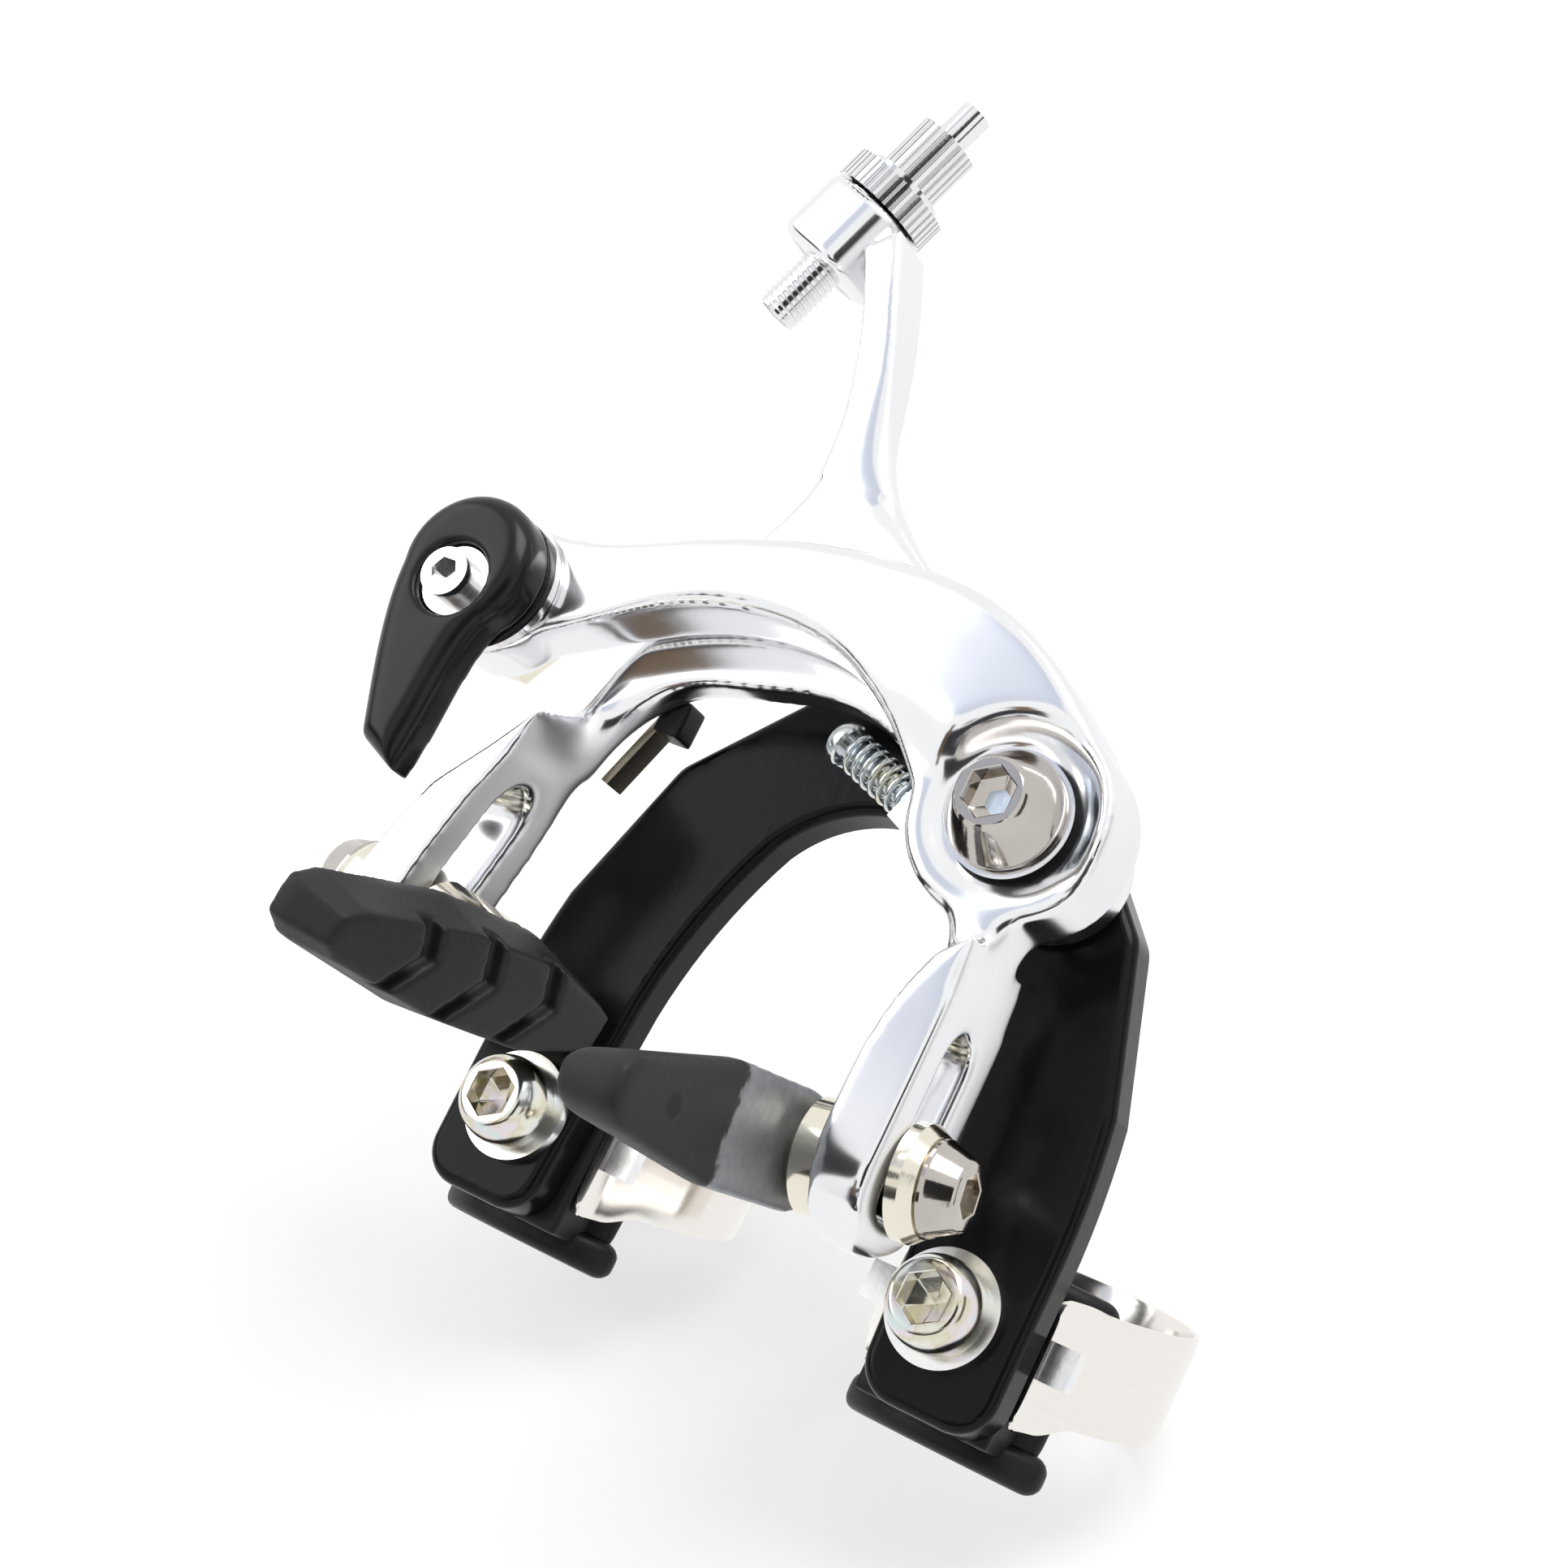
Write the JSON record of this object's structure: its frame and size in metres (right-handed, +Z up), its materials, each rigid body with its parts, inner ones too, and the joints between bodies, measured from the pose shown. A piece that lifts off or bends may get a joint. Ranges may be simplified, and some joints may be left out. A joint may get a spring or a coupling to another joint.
{
  "type": "rim brake caliper",
  "caption": "Dual-pivot side-pull rim brake caliper with quick-release cam and barrel adjuster on an arched bracket that straps to two fork tubes.",
  "frame": {"origin": "on the mounting bolt's axis at the bracket plate's front face", "axes": "+X to the right seen from the front, +Y to the rear along the mounting bolt, +Z up"},
  "size_m": [0.1048, 0.0941, 0.14],
  "materials": {
    "black_coat": "gloss black powder coat",
    "polished_alloy": "mirror-polished forged alloy",
    "zinc_gold": "yellow zinc plate",
    "zinc_bright": "bright zinc plate",
    "strap_steel": "bright stainless strip",
    "dark_nickel": "dark bright nickel",
    "silver_chrome": "bright chrome plate",
    "brass": "turned brass",
    "shoe_steel": "bare backing plate",
    "brake_rubber": "satin moulded rubber",
    "black_nylon": "moulded black nylon",
    "lever_black": "gloss black",
    "spring_steel": "tempered spring strip"
  },
  "bodies": {
    "bracket": {"bracket_plate": "black_coat", "clamp_screws": "zinc_gold", "clamp_washers": "zinc_bright", "saddle_blocks": "black_nylon", "strap_carriers": "zinc_bright", "straps": "strap_steel", "rubber_liners": "brake_rubber", "mounting_bolt": "zinc_gold", "seat_washer": "zinc_bright", "rear_washer": "zinc_bright", "rear_nut": "zinc_gold", "hub_bush": "zinc_bright"},
    "bridge": {"bridge_plate": "zinc_bright", "side_pivot_stud": "zinc_bright", "brass_spacer": "brass", "pivot_washer": "zinc_bright", "pivot_nut": "dark_nickel", "centring_screw": "zinc_bright", "centring_spring": "zinc_bright"},
    "rear_arm": {"adjuster_arm": "polished_alloy", "return_spring": "spring_steel", "spring_clip": "black_nylon", "left_block_holder": "shoe_steel", "left_brake_block": "brake_rubber", "left_stud": "silver_chrome", "left_cupped_washers": "silver_chrome", "left_nut": "silver_chrome"},
    "front_arm": {"lever_arm": "polished_alloy", "wave_washer": "silver_chrome", "cam_disc": "silver_chrome", "right_block_holder": "shoe_steel", "right_brake_block": "brake_rubber", "right_stud": "silver_chrome", "right_cupped_washers": "silver_chrome", "right_nut": "silver_chrome"},
    "quick_release": {"release_lever": "lever_black", "anchor_washer": "zinc_bright", "anchor_bolt": "dark_nickel", "anchor_nut": "dark_nickel"},
    "barrel": {"adjuster_barrel": "silver_chrome", "cable_ferrule": "silver_chrome"},
    "ring": {"lock_ring": "silver_chrome"}
  },
  "joints": [
    {"name": "caliper_swivel", "type": "hinge", "parent": "bracket", "child": "bridge", "pos_m": [0, 0, 0], "axis": [0, 1, 0], "range_deg": [-8, 4]},
    {"name": "rear_arm_pivot", "type": "hinge", "parent": "bridge", "child": "rear_arm", "pos_m": [0, 0, 0], "axis": [0, -1, 0], "range_deg": [0, 5], "stiffness_Nm_per_rad": 0.4, "springref_deg": -17.19},
    {"name": "front_arm_pivot", "type": "hinge", "parent": "bridge", "child": "front_arm", "pos_m": [0.0192, 0, -0.0138], "axis": [0, 1, 0], "range_deg": [0, 6], "stiffness_Nm_per_rad": 0.4, "springref_deg": -17.19},
    {"name": "cam_turn", "type": "hinge", "parent": "front_arm", "child": "quick_release", "pos_m": [-0.0513, 0, -0.0089], "axis": [0, 1, 0], "range_deg": [0, 100]},
    {"name": "barrel_turn", "type": "hinge", "parent": "rear_arm", "child": "barrel", "pos_m": [-0.035, -0.0074, 0.0513], "axis": [0.3746, 0, 0.9272], "range_deg": [-180, 180]},
    {"name": "ring_turn", "type": "hinge", "parent": "rear_arm", "child": "ring", "pos_m": [-0.035, -0.0074, 0.0513], "axis": [0.3746, 0, 0.9272], "range_deg": [-180, 180]}
  ]
}
